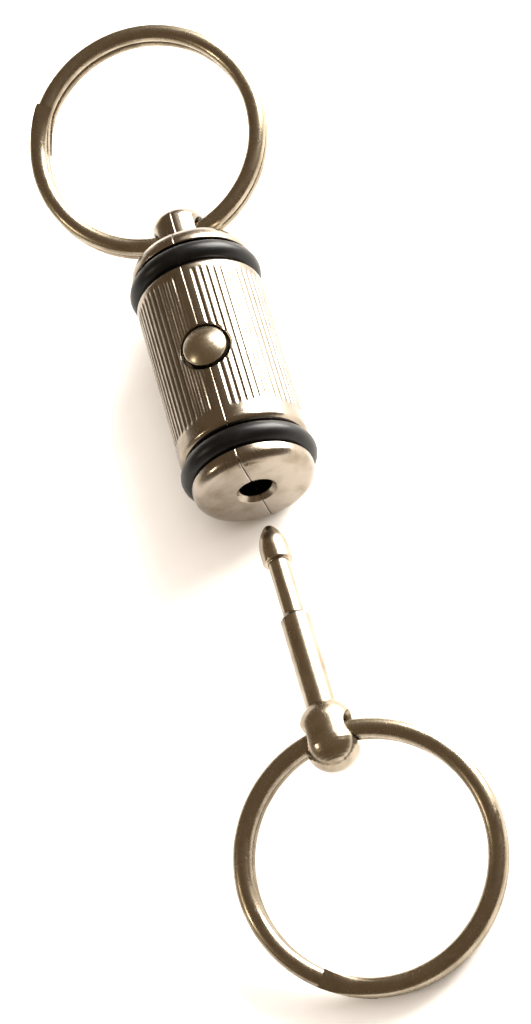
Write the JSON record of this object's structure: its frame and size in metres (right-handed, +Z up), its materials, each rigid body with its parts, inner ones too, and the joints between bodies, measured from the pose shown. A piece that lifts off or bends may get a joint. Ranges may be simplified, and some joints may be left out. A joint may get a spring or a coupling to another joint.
{
  "type": "quick-release key ring",
  "caption": "Pull-apart key ring: a fluted plated barrel with a domed push button and a latching stud, each carrying a split ring, shown detached.",
  "frame": {"origin": "under the middle of the whole pulled-apart object, on the plane that its O-rings lie on", "axes": "+Y along the barrel's axis from the socket mouth to the nub, +Z up through the push button, +X to the right with the button up and the nub away"},
  "size_m": [0.024, 0.101, 0.0141],
  "materials": {
    "plated_shell": "warm polished nickel plating over die-cast zinc",
    "black_rubber": "smooth black rubber with a soft sheen",
    "plated_button": "polished nickel plating with a fine rub mark",
    "spring_steel": "bare spring steel strip",
    "plated_stud": "turned and nickel plated",
    "plated_wire": "nickel plated wire, lightly rubbed"
  },
  "bodies": {
    "barrel": {"left_shell": "plated_shell", "right_shell": "plated_shell", "upper_o_ring": "black_rubber", "lower_o_ring": "black_rubber", "latch_spring": "spring_steel"},
    "button": {"push_button": "plated_button"},
    "stud": {"stud": "plated_stud"},
    "upper_ring": {"upper_split_ring": "plated_wire"},
    "lower_ring": {"lower_split_ring": "plated_wire"}
  },
  "joints": [
    {"name": "stud_slide", "type": "slide", "parent": "barrel", "child": "stud", "axis": [0, 1, 0], "range_m": [0, 0.0228], "deforming": ["latch_spring"]},
    {"name": "button_press", "type": "slide", "parent": "barrel", "child": "button", "axis": [0, 0, -1], "range_m": [0, 0.0009], "stiffness_N_per_m": 500, "springref_m": -0.002, "deforming": ["latch_spring"]},
    {"name": "upper_ring_swing", "type": "hinge", "parent": "barrel", "child": "upper_ring", "pos_m": [0, 0.02803, 0.00655], "axis": [1, 0, 0], "range_deg": [-131, 99]},
    {"name": "lower_ring_swing", "type": "hinge", "parent": "stud", "child": "lower_ring", "pos_m": [0, -0.02777, 0.00655], "axis": [1, 0, 0], "range_deg": [-128, 102]}
  ]
}
